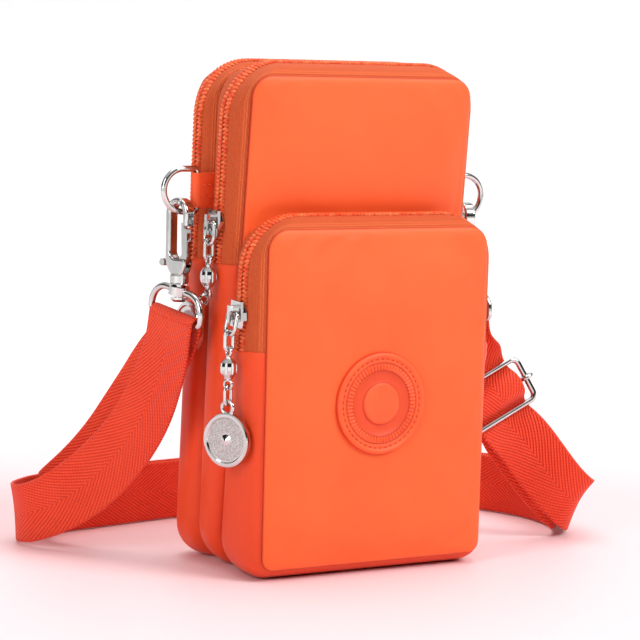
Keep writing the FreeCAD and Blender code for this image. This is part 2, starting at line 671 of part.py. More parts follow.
for word, side, tab_z, bar_x, straight, hook_x, hook_turn, eye_turn, eye_tilt in (
    ("left", -1, LEFT_TAB_Z, LEFT_RING_BAR, LEFT_RING_STRAIGHT, LEFT_HOOK_X,
     LEFT_HOOK_TURN, LEFT_HOOK_TURN, EYE_TILT),
    ("right", 1, RIGHT_TAB_Z, RIGHT_RING_BAR, RIGHT_RING_STRAIGHT, RIGHT_HOOK_X,
     RIGHT_HOOK_TURN, RIGHT_EYE_TURN, 0),
):
    base = hook_base(side * hook_x, tab_z)
    export(f"{word}_tab", tab(side, tab_z, bar_x))
    export(f"{word}_d_ring", d_ring(side, tab_z, bar_x, straight))
    export(f"{word}_hook_body", hang(hook_body(), base, hook_turn))
    export(f"{word}_hook_gate", hang(hook_gate(), base, hook_turn))
    export(f"{word}_hook_pin", hang(hook_pin(), base, hook_turn))
    export(f"{word}_hook_eye", hang(hook_eye(), base, eye_turn, eye_tilt))
    bar_fold = moved(fold(EYE_WIRE + FOLD_GAP), z=-EYE_H)
    export(f"{word}_strap_fold", hang(bar_fold, base, eye_turn, eye_tilt))

place_chain("pocket", -1, POCKET, POCKET_SLIDER_Z, lift=10, yaw=25, swing=0)
place_chain("mid", -1, MID, MID_SLIDER_Z, lift=2, yaw=0, swing=45)
place_chain("rear", 1, REAR, REAR_SLIDER_Z, lift=10, yaw=10, swing=0)

export("strap_outer_run", webbing(OUTER_RUN))
export("strap_inner_run", webbing(INNER_RUN))
export("adjuster_frame", in_adjuster(adjuster_frame()))
export("adjuster_bar", in_adjuster(adjuster_bar()))
export("strap_bar_fold", in_adjuster(fold(BAR_WIRE + FOLD_GAP)))
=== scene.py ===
import bmesh
import bpy
import math
from mathutils import Matrix, Vector, noise


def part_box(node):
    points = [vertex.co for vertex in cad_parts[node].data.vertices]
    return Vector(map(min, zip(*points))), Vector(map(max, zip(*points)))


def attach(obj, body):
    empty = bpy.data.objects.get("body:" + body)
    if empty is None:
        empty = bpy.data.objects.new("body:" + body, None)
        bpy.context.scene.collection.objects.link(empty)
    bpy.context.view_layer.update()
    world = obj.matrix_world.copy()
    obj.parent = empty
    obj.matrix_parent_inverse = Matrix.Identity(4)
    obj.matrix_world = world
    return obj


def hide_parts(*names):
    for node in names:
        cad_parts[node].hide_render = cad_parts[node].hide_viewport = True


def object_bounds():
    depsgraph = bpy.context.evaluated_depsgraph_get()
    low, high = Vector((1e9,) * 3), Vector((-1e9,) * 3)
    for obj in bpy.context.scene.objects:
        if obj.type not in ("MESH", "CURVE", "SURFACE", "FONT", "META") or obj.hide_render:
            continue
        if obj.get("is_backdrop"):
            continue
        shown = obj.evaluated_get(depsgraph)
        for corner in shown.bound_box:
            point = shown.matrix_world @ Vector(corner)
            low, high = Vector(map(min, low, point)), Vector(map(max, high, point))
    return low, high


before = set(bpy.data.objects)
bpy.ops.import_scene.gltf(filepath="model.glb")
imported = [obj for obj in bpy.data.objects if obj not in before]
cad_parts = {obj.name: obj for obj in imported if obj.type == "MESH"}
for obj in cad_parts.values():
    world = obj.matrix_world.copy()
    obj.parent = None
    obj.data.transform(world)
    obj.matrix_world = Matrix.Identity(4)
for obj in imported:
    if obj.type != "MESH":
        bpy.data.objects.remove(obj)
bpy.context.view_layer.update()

MM = 0.001
ROOT = "pouch"

# Driving sizes of the pouch, in millimetres. A seam lies in a leaning plane, y = foot + lean * z, and is
# given as its foot, its lean and the radius of its lower corners.
PANEL_W, SEAM_Z, TALL_TOP, POCKET_TOP = 100.0, 4.4, 194.0, 135.5
TOP_R, TOP_SPREAD, SWELL, EDGE_T, CROWN = 8.5, 1.85, 4.5, 0.8, 1.8
BACK_SEAM, REAR_FRONT_SEAM = (35.1, -0.052, 9.0), (16.1, -0.0424, 14.0)
MID_FRONT_SEAM, POCKET_FRONT_SEAM = (0.6, -0.095, 11.0), (-32.2, 0.0, 5.0)
TALL_ZIP_END, POCKET_ZIP_END = 120.0, 88.0
COIL_W, COIL_GAP, COIL_PITCH = 2.6, 1.0, 1.6
BADGE_Z = 67.5
TAB_W, RING_WIRE = 13.5, 1.25
STRAP_W, STRAP_T = 25.0, 1.4
EYE_WIRE, EYE_H, BAR_WIRE, WIRE_GAP = 1.4, 11.0, 1.0, 0.3


def ahead(plane, distance):
    return (plane[0] - distance,) + plane[1:]


def between(back, front, share):
    return tuple(b + (f - b) * share for b, f in zip(back, front))


COMPARTMENTS = {
    "rear": (BACK_SEAM, REAR_FRONT_SEAM, TALL_TOP, TALL_ZIP_END),
    "mid": (ahead(REAR_FRONT_SEAM, EDGE_T), MID_FRONT_SEAM, TALL_TOP, TALL_ZIP_END),
    "pocket": (ahead(MID_FRONT_SEAM, EDGE_T), POCKET_FRONT_SEAM, POCKET_TOP, POCKET_ZIP_END),
}


# Camera at the photograph's angle: degrees, the point it looks at in millimetres, and its distance in metres

VIEW_AZIMUTH, VIEW_ELEVATION, VIEW_ROLL = -30.98, 6.01, 1.44
VIEW_TARGET, VIEW_DISTANCE = (-8.53, -2.2, 96.89), 0.9978
SENSOR, LENS = 36.0, 141.68


def camera():
    az, el, roll = (math.radians(a) for a in (VIEW_AZIMUTH, VIEW_ELEVATION, VIEW_ROLL))
    back = Vector((math.sin(az) * math.cos(el), -math.cos(az) * math.cos(el), math.sin(el)))
    right = Vector((math.cos(az), math.sin(az), 0))
    up = back.cross(right)
    x_axis = right * math.cos(roll) + up * math.sin(roll)
    y_axis = up * math.cos(roll) - right * math.sin(roll)
    data = bpy.data.cameras.new("camera")
    data.sensor_width, data.lens = SENSOR, LENS
    data.clip_start, data.clip_end = 0.05, 20.0
    cam = bpy.data.objects.new("camera", data)
    turn = Matrix((x_axis, y_axis, back)).transposed().to_4x4()
    cam.matrix_world = Matrix.Translation(Vector(VIEW_TARGET) * MM + back * VIEW_DISTANCE) @ turn
    bpy.context.scene.collection.objects.link(cam)
    bpy.context.scene.camera = cam


# Node materials

class Shader:
    """A node material that is built up by short calls."""

    def __init__(self, name, **sockets):
        self.mat = bpy.data.materials.new(name)
        self.mat.use_nodes = True
        self.tree = self.mat.node_tree
        self.bsdf = self.tree.nodes["Principled BSDF"]
        self.set(self.bsdf, sockets)

    def set(self, node, sockets):
        for key, value in sockets.items():
            socket = node.inputs[key if isinstance(key, int) else key.replace("_", " ")]
            if isinstance(value, bpy.types.NodeSocket):
                self.tree.links.new(value, socket)
            else:
                socket.default_value = value

    def add(self, kind, sockets=None, **props):
        node = self.tree.nodes.new("ShaderNode" + kind)
        for key, value in props.items():
            setattr(node, key, value)
        self.set(node, sockets or {})
        return node

    def calc(self, operation, a, b=0.0, c=0.0):
        return self.add("Math", {0: a, 1: b, 2: c}, operation=operation).outputs[0]

    def place(self, kind="UV"):
        return self.add("TexCoord").outputs[kind]

    def axes(self, vector):
        return self.add("SeparateXYZ", {0: vector}).outputs

    def near_seam(self, reach):
        """1 on a seam, falling to 0 at a distance from it: the mask of the painted crease shade."""
        far = self.axes(self.add("UVMap", uv_map="seam").outputs[0])[0]
        return self.calc("POWER", self.span(far, 1, 0, 0, reach), CREASE_FADE)

    def noise(self, scale, detail):
        tex = self.add("TexNoise", {"Vector": self.place("Object"), "Scale": scale, "Detail": detail})
        return tex.outputs["Fac"]

    def wave(self, value, period):
        """A sine of a length in metres, from 0 to 1."""
        turns = self.calc("SINE", self.calc("MULTIPLY", value, 2 * math.pi / period))
        return self.calc("MULTIPLY_ADD", turns, 0.5, 0.5)

    def mix(self, fac, a, b):
        node = self.add("Mix", data_type="RGBA")
        self.set(node, {0: fac, 6: a, 7: b})
        return node.outputs[2]

    def span(self, value, low, high, start=0.0, end=1.0):
        sockets = {"Value": value, "From Min": start, "From Max": end, "To Min": low, "To Max": high}
        return self.add("MapRange", sockets).outputs[0]

    def bump(self, height, distance, strength=1.0, under=None):
        sockets = {"Height": height, "Distance": distance, "Strength": strength}
        if under is not None:
            sockets["Normal"] = under
        return self.add("Bump", sockets).outputs[0]

    def done(self, **sockets):
        self.set(self.bsdf, sockets)
        return self.mat


# Colours are linear red, green, blue and alpha; lengths in materials are metres
# Painted crease shade: the dark red that cloth and tape are darkened to along their seams, how it fades, and its
# reach on panels and on tapes
CREASE_SHADE, CREASE_FADE = (0.42, 0.014, 0.004, 1), 1.6
PANEL_CREASE_W, TAPE_CREASE_W = 0.0008, 0.0007
NYLON_YARN = 0.00042


def nylon(name, colour, shade, rough):
    """Satin nylon: a fine plain weave, slow unevenness of colour, a soft sheen and painted crease shade along
    its seams.
    """
    s = Shader(name, Sheen_Weight=0.08, Sheen_Roughness=0.4, Specular_IOR_Level=0.32)
    u, v, _ = s.axes(s.place())
    weave = s.calc("MULTIPLY", s.wave(u, NYLON_YARN), s.wave(v, NYLON_YARN))
    cloud = s.noise(26, 4)
    slow = s.bump(s.noise(34, 2), 0.0009, 0.35)
    fine = s.bump(weave, 0.00005, 0.6, slow)
    tone = s.mix(s.span(cloud, 0, 1, 0.3, 0.7), shade, colour)
    tone = s.mix(s.calc("MULTIPLY", weave, 0.10), tone, shade)
    crease_shade = s.near_seam(PANEL_CREASE_W)
    gloss = s.span(cloud, rough - 0.05, rough + 0.06, 0.3, 0.7)
    return s.done(Base_Color=s.mix(crease_shade, tone, CREASE_SHADE), Normal=fine,
                  Roughness=s.calc("MAXIMUM", gloss, crease_shade))


def zip_tape():
    """Woven tape: a fine twill, with a coarser and paler selvage along the seam, and painted crease shade at the
    seam.
    """
    s = Shader("zip_tape", Sheen_Weight=0.05, Specular_IOR_Level=0.2)
    u, v, _ = s.axes(s.place())
    rib_w, row_w, knot_w, knot_row_w = 0.0010, 0.0009, 0.0013, 0.0010
    selvage_full, selvage_end = 0.0030, 0.0040
    groove, crest = (0.48, 0.058, 0.014, 1), (0.71, 0.124, 0.031, 1)
    gap, knot = (0.58, 0.070, 0.016, 1), (0.94, 0.25, 0.078, 1)
    haze = (0.78, 0.155, 0.043, 1)
    ribs = s.wave(s.calc("MULTIPLY_ADD", v, 0.8, u), rib_w)
    twill = s.calc("MULTIPLY", s.calc("MULTIPLY_ADD", s.wave(v, row_w), 0.6, 0.4), ribs)
    knots = s.calc("MULTIPLY", s.wave(s.calc("MULTIPLY_ADD", v, 0.9, u), knot_w), s.wave(v, knot_row_w))
    edge = s.span(v, 1, 0, selvage_full, selvage_end)
    fuzz = s.noise(900, 2)
    plain = s.mix(twill, groove, crest)
    coarse = s.mix(knots, gap, knot)
    colour = s.mix(s.span(fuzz, 0, 0.25, 0.35, 0.7), s.mix(edge, plain, coarse), haze)
    relief = s.calc("ADD", s.calc("MULTIPLY", knots, edge), s.calc("MULTIPLY", twill, 0.6))
    normal = s.bump(s.calc("MULTIPLY_ADD", fuzz, 0.25, relief), 0.00025, 0.8)
    crease_shade = s.near_seam(TAPE_CREASE_W)
    return s.done(Base_Color=s.mix(crease_shade, colour, CREASE_SHADE), Normal=normal,
                  Roughness=s.calc("MAXIMUM", s.span(fuzz, 0.6, 0.85), crease_shade))


def coil_nylon():
    """Dyed nylon coil: a satin filament with paler patches of painted highlight at random places."""
    s = Shader("zip_coil", Specular_IOR_Level=0.28)
    # pale is painted highlight, laid on in random patches that also vary the roughness.
    dyed, pale, groove_w = (0.90, 0.080, 0.022, 1), (1.0, 0.24, 0.080, 1), 0.0005
    highlight_patches = s.noise(420, 3)
    around = s.axes(s.place())[1]
    colour = s.mix(s.span(highlight_patches, 0, 1, 0.35, 0.65), dyed, pale)
    normal = s.bump(s.wave(around, groove_w), 0.00006, 0.5)
    return s.done(Base_Color=colour, Roughness=s.span(highlight_patches, 0.38, 0.55), Normal=normal)


def webbing():
    """Herringbone webbing: ribs of yarn in one large chevron, with plain selvages."""
    s = Shader("webbing", Sheen_Weight=0.06, Specular_IOR_Level=0.3)
    slope, rib_w, yarn_w, selvage_from, selvage_w = 1.6, 0.0023, 0.0024, 0.0116, 0.0011
    groove, crest, faded = (0.70, 0.024, 0.008, 1), (1.0, 0.092, 0.030, 1), (1.0, 0.11, 0.038, 1)
    across, along, _ = s.axes(s.place())
    side = s.calc("ABSOLUTE", across)
    ribs = s.wave(s.calc("SUBTRACT", s.calc("MULTIPLY", side, slope), along), rib_w)
    yarn = s.wave(s.calc("MULTIPLY_ADD", along, slope, side), yarn_w)
    edge = s.calc("GREATER_THAN", side, selvage_from)
    chevron = s.calc("MULTIPLY", s.calc("POWER", ribs, 0.7), s.calc("MULTIPLY_ADD", yarn, 0.35, 0.65))
    selvage = s.calc("MULTIPLY", s.wave(along, selvage_w), edge)
    cloth = s.calc("ADD", s.calc("MULTIPLY", chevron, s.calc("SUBTRACT", 1.0, edge)), selvage)
    fuzz = s.noise(1300, 2)
    wide = s.noise(40, 3)
    colour = s.mix(cloth, groove, crest)
    colour = s.mix(s.span(wide, 0, 0.25, 0.4, 0.7), colour, faded)
    normal = s.bump(s.calc("MULTIPLY_ADD", fuzz, 0.18, cloth), 0.00035, 0.9)
    return s.done(Base_Color=colour, Roughness=s.span(fuzz, 0.5, 0.75), Normal=normal)


def rubber():
    """Soft moulded badge rubber with a dull fine grain, and painted shade in its sunken field, narrow groove,
    ring lines and side wall.
    """
    s = Shader("badge", Specular_IOR_Level=0.35)
    field_in, field_out, foot = (0.0080, 0.0086), (0.0126, 0.0131), (0.0196, 0.0200)
    groove_in, groove_out = (0.0155, 0.0158), (0.0159, 0.0162)
    outer_line, inner_line, line_w = 0.0129, 0.0083, 0.00022
    # sunken is painted shade: the sunken field, the narrow groove round the milled ring, two thin ring lines and
    # the side wall are darkened towards it.
    dark, light, sunken = (0.88, 0.105, 0.027, 1), (0.95, 0.130, 0.033, 1), (0.62, 0.040, 0.011, 1)
    grain = s.noise(2600, 2)
    cloud = s.noise(120, 3)
    x, _, z = s.axes(s.place("Object"))
    rise = s.calc("SUBTRACT", z, BADGE_Z * MM)
    r = s.calc("SQRT", s.calc("MULTIPLY_ADD", x, x, s.calc("POWER", rise, 2.0)))
    field = s.calc("MULTIPLY", s.span(r, 0, 1, *field_in), s.span(r, 1, 0, *field_out))
    groove = s.calc("MULTIPLY", s.span(r, 0, 1, *groove_in), s.span(r, 1, 0, *groove_out))
    rings = s.calc("MAXIMUM", *(s.calc("COMPARE", r, line, line_w) for line in (outer_line, inner_line)))
    wall = s.calc("MAXIMUM", s.span(r, 0, 1, *foot), s.calc("MAXIMUM", groove, rings))
    colour = s.mix(s.span(cloud, 0, 1, 0.3, 0.7), dark, light)
    deep = s.calc("MAXIMUM", s.calc("MULTIPLY", field, 0.55), s.calc("MULTIPLY", wall, 0.9))
    colour = s.mix(deep, colour, sunken)
    return s.done(Base_Color=colour, Roughness=s.span(cloud, 0.45, 0.58), Normal=s.bump(grain, 0.00006, 0.5))


def plated(name, field=None):
    """Polished nickel plate with hairline wear; a blasted field inside a ball round a point, if given."""
    dull, bright = (0.50, 0.495, 0.49, 1), (0.68, 0.675, 0.665, 1)
    pit, glint = (0.36, 0.355, 0.35, 1), (0.66, 0.655, 0.645, 1)
    cone_edge, blur = (0.0023, 0.0026), 0.0002
    s = Shader(name, Metallic=1.0)
    smear = s.noise(260, 4)
    plate = s.mix(smear, dull, bright)
    scratch = s.noise(1500, 2)
    rough = s.span(smear, 0.05, 0.17, 0.3, 0.7)
    normal = s.bump(scratch, 0.00002, 0.15)
    if field is None:
        return s.done(Base_Color=plate, Roughness=rough, Normal=normal)
    centre, radius = field
    reach = s.add("VectorMath", {0: s.place("Object"), 1: centre}, operation="DISTANCE").outputs["Value"]
    inside = s.span(reach, 1, 0, radius - blur, radius + blur)
    mask = s.calc("MULTIPLY", inside, s.span(reach, 0, 1, *cone_edge))
    speck = s.noise(1900, 2)
    blasted = s.bump(speck, 0.0002, 0.9)
    grit = s.mix(s.span(speck, 0, 1, 0.35, 0.65), pit, glint)
    node = s.add("Mix", data_type="VECTOR")
    s.set(node, {0: mask, 4: normal, 5: blasted})
    return s.done(Roughness=s.calc("ADD", rough, s.calc("MULTIPLY", mask, 0.25)), Normal=node.outputs[1],
                  Base_Color=s.mix(mask, plate, grit))


def thread(name, dark, light):
    """Twisted sewing thread between two tones."""
    s = Shader(name, Specular_IOR_Level=0.2)
    twist = s.noise(1800, 2)
    colour = s.mix(twist, dark, light)
    return s.done(Base_Color=colour, Roughness=s.span(twist, 0.5, 0.8), Normal=s.bump(twist, 0.0001, 0.6))


PANEL_CLOTH = nylon("panel_nylon", (0.96, 0.136, 0.030, 1), (0.91, 0.118, 0.025, 1), 0.46)
# A darker, redder copy of the panel nylon for the sides, base and divider: painted shade.
SIDE_CLOTH_PAINTED_SHADE = nylon("side_nylon_painted_shade", (0.88, 0.076, 0.013, 1), (0.81, 0.063, 0.010, 1), 0.44)
# A brighter copy of the panel nylon for the tabs: painted light on cloth that the lamps leave in shade.
TAB_CLOTH_PAINTED_LIGHT = nylon("tab_nylon_painted_light", (1.0, 0.118, 0.030, 1), (0.97, 0.105, 0.025, 1), 0.46)
TAPE, COIL, WEBBING, RUBBER = zip_tape(), coil_nylon(), webbing(), rubber()
THREAD = thread("thread", (0.84, 0.075, 0.018, 1), (1.0, 0.17, 0.055, 1))
DEEP_THREAD = thread("deep_thread", (0.46, 0.022, 0.006, 1), (0.80, 0.080, 0.022, 1))
NICKEL = plated("nickel")


# Meshes

def piece(name, material, nodes=()):
    """An empty mesh object that rides on the pouch, and the CAD nodes that it stands for."""
    mesh = bpy.data.meshes.new(name)
    obj = bpy.data.objects.new(name, mesh)
    bpy.context.scene.collection.objects.link(obj)
    mesh.materials.append(material)
    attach(obj, ROOT)
    if nodes:
        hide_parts(*nodes)
    return obj


def fill(obj, bm):
    """Put a bmesh into its object, with faces outwards."""
    bmesh.ops.recalc_face_normals(bm, faces=bm.faces)
    for f in bm.faces:
        f.smooth = True
    bm.to_mesh(obj.data)
    bm.free()
    return obj


def grid(bm, rows, uvs, closed=False, seams=None):
    """Quads between rows of points; with closed, each row is a loop. uvs has a pair for each point, and seams
    its distance from the nearest seam, which the materials darken with painted crease shade."""
    layer = bm.loops.layers.uv.verify()
    sewn = (bm.loops.layers.uv.get("seam") or bm.loops.layers.uv.new("seam")) if seams else None
    made = [[bm.verts.new(p) for p in row] for row in rows]
    count = len(rows[0])
    for i in range(len(rows) - 1):
        for j in range(count if closed else count - 1):
            k = (j + 1) % count
            corners = [(i, j), (i, k), (i + 1, k), (i + 1, j)]
            face = bm.faces.new([made[r][c] for r, c in corners])
            for loop, (r, c) in zip(face.loops, corners):
                loop[layer].uv = uvs[r][c]
                if seams:
                    loop[sewn].uv = (seams[r][c], 0)
    return made


def laid(x, z, plane):
    """A point of a seam plane."""
    turn = math.atan(plane[1])
    return Vector((x, plane[0] + z * math.sin(turn), z * math.cos(turn))) * MM


def arc(cx, cz, r, start, end, count):
    turns = [math.radians(start + (end - start) * i / count) for i in range(count + 1)]
    return [(cx + r * math.cos(t), cz + r * math.sin(t)) for t in turns]


def run(a, b, count):
    return [(a[0] + (b[0] - a[0]) * i / count, a[1] + (b[1] - a[1]) * i / count) for i in range(count + 1)]


# Cells of an outline along a side, round a corner and across, over the top and under the base
TOP_CELLS, BASE_CELLS = (24, 22, 24), (20, 16, 24)


def over_top(top, grow, z_end):
    """Up the right side from a height, over the top, rounder where the band swells, and down the left."""
    side, corner, across = TOP_CELLS
    half, z1 = PANEL_W / 2 + grow, top + grow
    r = TOP_R + grow + TOP_SPREAD * min(max(grow, 0), SWELL)
    right = run((half, z_end), (half, z1 - r), side) + arc(half - r, z1 - r, r, 0, 90, corner)[1:]
    left = [(-x, z) for x, z in reversed(right)]
    return right + run((half - r, z1), (r - half, z1), across)[1:-1] + left


# Folded lip of a gusset at the end of its zip, as rise above the end and distance out of the gusset, and how far
# below the end the plain side starts
LIP = ((-1.2, -1.0), (0.1, -0.7), (0.75, 0.0), (0.75, 0.45),
       (0.2, 0.75), (-1.2, 0.8), (-3.5, 0.7), (-6, 0.35))
LIP_DROP = 9


def under_base(grow, z_end, low_r, lip=()):
    """Down the right side from a height, under the base and up the left, with a folded lip at both ends."""
    side, corner, across = BASE_CELLS
    half, z0, r = PANEL_W / 2 + grow, max(0.0, SEAM_Z - grow), low_r + grow
    first = [(half + out, z_end + rise) for rise, out in lip]
    right = first + run((half, z_end - LIP_DROP), (half, z0 + r), side)
    right += arc(half - r, z0 + r, r, 0, -90, corner)[1:]
    left = [(-x, z) for x, z in reversed(right)]
    return right + run((half - r, z0), (r - half, z0), across)[1:-1] + left


# How square a band's swell is, and how deep and how sharply its edges tuck into the seams
SWELL_POWER, TUCK, TUCK_POWER = 3.2, 1.3, 18


def swell(share):
    """How far a band stands out of its seams: full in the middle, rolling into the seam at its edges."""
    e = min(1.0, abs(2 * share - 1))
    return SWELL * (1 - e ** SWELL_POWER) - TUCK * e ** TUCK_POWER


def lengths(points):
    total, out = 0.0, [0.0]
    for a, b in zip(points, points[1:]):
        total += (Vector(b) - Vector(a)).length
        out.append(total)
    return out


# Point of a row where a band's width is measured, cells across a gusset and across one tape, and how far a
# tape goes down behind the gusset
GAUGE, GUSSET_CELLS, TAPE_CELLS, TAPE_TUCK = 40, 28, 13, 4


def band(bm, back, front, shares, path):
    """A band of cloth across a range of shares; path gives the outline at a growth."""
    rows, uvs, seams, across = [], [], [], 0.0
    width = (back[0] - front[0]) * MM
    for share in shares:
        plane = between(back, front, share)
        row = [laid(x, z, plane) for x, z in path(swell(share), plane[2])]
        if rows:
            across += (row[GAUGE] - rows[-1][GAUGE]).length
        along = lengths(row)
        rows.append(row)
        uvs.append([(d, across) for d in along])
        seams.append([min(share, 1 - share) * width] * len(row))
    return grid(bm, rows, uvs, seams=seams)


def gusset(name, back, front, z_end):
    """The bulging side and bottom band of a compartment."""
    obj = piece(f"{name}_side", SIDE_CLOTH_PAINTED_SHADE, [f"{name}_gusset"])
    shares = [i / GUSSET_CELLS for i in range(GUSSET_CELLS + 1)]
    bm = bmesh.new()
    band(bm, back, front, shares, lambda grow, low_r: under_base(grow, z_end, low_r, LIP))
    fill(obj, bm)


def tapes(name, back, front, top, z_end):
    """The two woven tapes of a zip, each from its seam to the middle of the band."""
    half = [i / (2 * TAPE_CELLS) for i in range(TAPE_CELLS + 1)]
    for side, shares in (("back", half), ("front", [1 - share for share in half])):
        obj = piece(f"{name}_tape_{side}", TAPE, [f"{name}_zip_tape_{side}"])
        bm = bmesh.new()
        band(bm, back, front, shares, lambda grow, _: over_top(top, grow, z_end - TAPE_TUCK))
        fill(obj, bm)


# Zip coil: how far its rows move into their gap, its guide and a second line that gives the way outwards, both
# above the tape, and its end above the gusset; then a turn's reach across, outwards and along, and the filament
COIL_OVERLAP, COIL_GUIDE, COIL_OUTSIDE, COIL_END = 0.15, 0.05, 1.05, 0.1
TURN_ACROSS, TURN_OUT, TURN_LEAN, FILAMENT_R = 1.12, 0.34, 0.52, 0.70
TURN_CELLS, FILAMENT_CELLS = 12, 6


def coil(name, back, front, top, z_end):
    """Two rows of slanting nylon turns, wound opposite ways."""
    obj = piece(f"{name}_coil", COIL, [f"{name}_zip_coil"])
    bm = bmesh.new()
    centre = between(back, front, 0.5)
    for sign in (-1, 1):
        plane = ahead(centre, sign * (COIL_GAP / 2 + COIL_W / 2 - COIL_OVERLAP))
        guide, outside = [[laid(x, z, plane) for x, z in over_top(top, SWELL + rise, z_end + COIL_END)]
                          for rise in (COIL_GUIDE, COIL_OUTSIDE)]
        winding(bm, guide, outside, sign)
    fill(obj, bm)


def winding(bm, guide, outside, sign):
    """One filament wound along a guide; outside is the guide moved outwards."""
    at = lengths(guide)
    count = int(at[-1] / (COIL_PITCH * MM)) * TURN_CELLS
    rows, uvs, spots, k = [], [], [], 0
    for i in range(count + 1):
        s = at[-1] * i / count
        while k < len(at) - 2 and at[k + 1] < s:
            k += 1
        f = (s - at[k]) / (at[k + 1] - at[k])
        place = guide[k].lerp(guide[k + 1], f)
        out = (outside[k].lerp(outside[k + 1], f) - place).normalized()
        along = (guide[k + 1] - guide[k]).normalized()
        across = along.cross(out)
        turn = 2 * math.pi * i / TURN_CELLS * sign
        lean = TURN_LEAN * math.cos(turn) * sign
        offset = across * TURN_ACROSS * math.cos(turn) + out * TURN_OUT * math.sin(turn) + along * lean
        spots.append(place + offset * MM)
    for i, p in enumerate(spots):
        along = (spots[min(i + 1, count)] - spots[max(i - 1, 0)]).normalized()
        side = along.orthogonal().normalized()
        other = along.cross(side)
        turns = [2 * math.pi * j / FILAMENT_CELLS for j in range(FILAMENT_CELLS)]
        rows.append([p + (side * math.cos(t) + other * math.sin(t)) * FILAMENT_R * MM for t in turns])
        uvs.append([(i * MM, j * MM) for j in range(FILAMENT_CELLS)])
    grid(bm, rows, uvs, closed=True)


# Padded panels

# Distances of a panel's grid lines from its outline, the least height of the cells inside them, the cells
# across, and the share of a narrow row that the distances may take
INSETS = (0, 0.04, 0.15, 0.35, 0.65, 1.05, 1.6, 2.3, 3.2, 4.3, 5.6, 7.2, 9, 11, 13.5, 17)
PANEL_CELL, PANEL_CELLS, NARROW_SHARE = 3, 24, 0.9
# Rolled edge, crown, puckers along the seam and slow sag of the padding
ROLL_W, CROWN_POWER = 2.0, 2.4
PUCKER, PUCKER_AT, PUCKER_W, PUCKER_RATE = 0.10, 3.0, 2.6, 0.16
SAG, SAG_RATE_X, SAG_RATE_Z = 0.22, 0.022, 0.018
# How deep a panel's edge turns in behind it, and how far towards the middle
HEM_DEPTH, HEM_DRAW = 0.9, 0.012
# Width that the seam holds still, radius that the badge holds still, and frames of the cloth simulation
HELD, STIFF_R, SETTLE_FRAMES = 3.4, 21.5, 24


def inside(x, z, top, low_r):
    """Distance of a point from a panel's outline."""
    z0, z1 = SEAM_Z, top
    r = TOP_R if z > (z0 + z1) / 2 else low_r
    qx = abs(x) - (PANEL_W / 2 - r)
    qz = abs(z - (z0 + z1) / 2) - ((z1 - z0) / 2 - r)
    return r - math.hypot(max(qx, 0), max(qz, 0)) - min(max(qx, qz), 0)


def half_width(z, top, low_r):
    """Half the width of a panel's outline at a height."""
    half = PANEL_W / 2
    if z > top - TOP_R:
        return half - TOP_R + math.sqrt(max(0, TOP_R ** 2 - (z - top + TOP_R) ** 2))
    if z < SEAM_Z + low_r:
        return half - low_r + math.sqrt(max(0, low_r ** 2 - (SEAM_Z + low_r - z) ** 2))
    return half


def pad_rise(x, z, depth, crown, seed):
    """How far a padded panel stands off its seam at a point and its distance from the outline."""
    roll = EDGE_T * math.sqrt(1 - (1 - min(depth / ROLL_W, 1)) ** 2)
    inwards = min(depth / INSETS[-1], 1)
    pad = crown(x, z) * (1 - (1 - inwards) ** CROWN_POWER)
    ripple = noise.noise(Vector((x * PUCKER_RATE, z * PUCKER_RATE, seed)))
    pucker = PUCKER * math.exp(-((depth - PUCKER_AT) / PUCKER_W) ** 2) * ripple
    sag = SAG * noise.noise(Vector((x * SAG_RATE_X, z * SAG_RATE_Z, seed * 3))) * inwards
    return roll + pad + pucker + sag


def hem(bm, made, top, sign):
    """Turn a panel's edge in behind it; returns the new points."""
    rim = made[0] + [r[-1] for r in made[1:]]
    rim += list(reversed(made[-1]))[1:] + [r[0] for r in reversed(made[1:-1])]
    tuck = Vector((0, sign * HEM_DEPTH * MM, 0))
    middle = (SEAM_Z + top) / 2 * MM
    low = [bm.verts.new(v.co.lerp(Vector((0, v.co.y, middle)), HEM_DRAW) + tuck) for v in rim]
    for i in range(len(rim)):
        j = (i + 1) % len(rim)
        if rim[i] is not rim[j]:
            bm.faces.new((rim[i], rim[j], low[j], low[i]))
    return low


def panel(name, nodes, top, plane, forward, crown=lambda x, z: CROWN, badge_z=None):
    """A padded panel on a seam: a round rolled edge that rises into a flat crown."""
    obj = piece(name, PANEL_CLOTH, nodes)
    sign = 1 if forward else -1
    middle = (top - SEAM_Z) - 2 * INSETS[-1]
    count = int(middle / PANEL_CELL)
    heights = [SEAM_Z + i for i in INSETS]
    heights += [SEAM_Z + INSETS[-1] + middle * i / count for i in range(1, count)]
    heights += [top - i for i in reversed(INSETS)]
    rows, uvs, seams = [], [], []
    for z in heights:
        w = half_width(z, top, plane[2])
        edge = [min(i, w * NARROW_SHARE) for i in INSETS]
        inner = w - edge[-1]
        xs = [-(w - i) for i in edge] + [-inner + 2 * inner * i / PANEL_CELLS for i in range(1, PANEL_CELLS)]
        xs += [w - i for i in reversed(edge)]
        row, sewn = [], []
        for x in xs:
            depth = max(0.0, inside(x, z, top, plane[2]))
            row.append(laid(x, z, ahead(plane, sign * pad_rise(x, z, depth, crown, plane[0]))))
            sewn.append(depth * MM)
        rows.append(row)
        seams.append(sewn)
        uvs.append([(x * MM, z * MM) for x in xs])
    bm = bmesh.new()
    made = grid(bm, rows, uvs, seams=seams)
    low = hem(bm, made, top, sign)
    bmesh.ops.remove_doubles(bm, verts=bm.verts, dist=1e-7)
    held = {tuple(p) for row, sewn in zip(rows, seams) for p, d in zip(row, sewn) if d < HELD * MM}
    held |= {tuple(v.co) for v in low}
    if badge_z is not None:
        held |= {tuple(p) for row in rows for p in row if math.hypot(p.x, p.z - badge_z * MM) < STIFF_R * MM}
    fill(obj, bm)
    settle(obj, held)


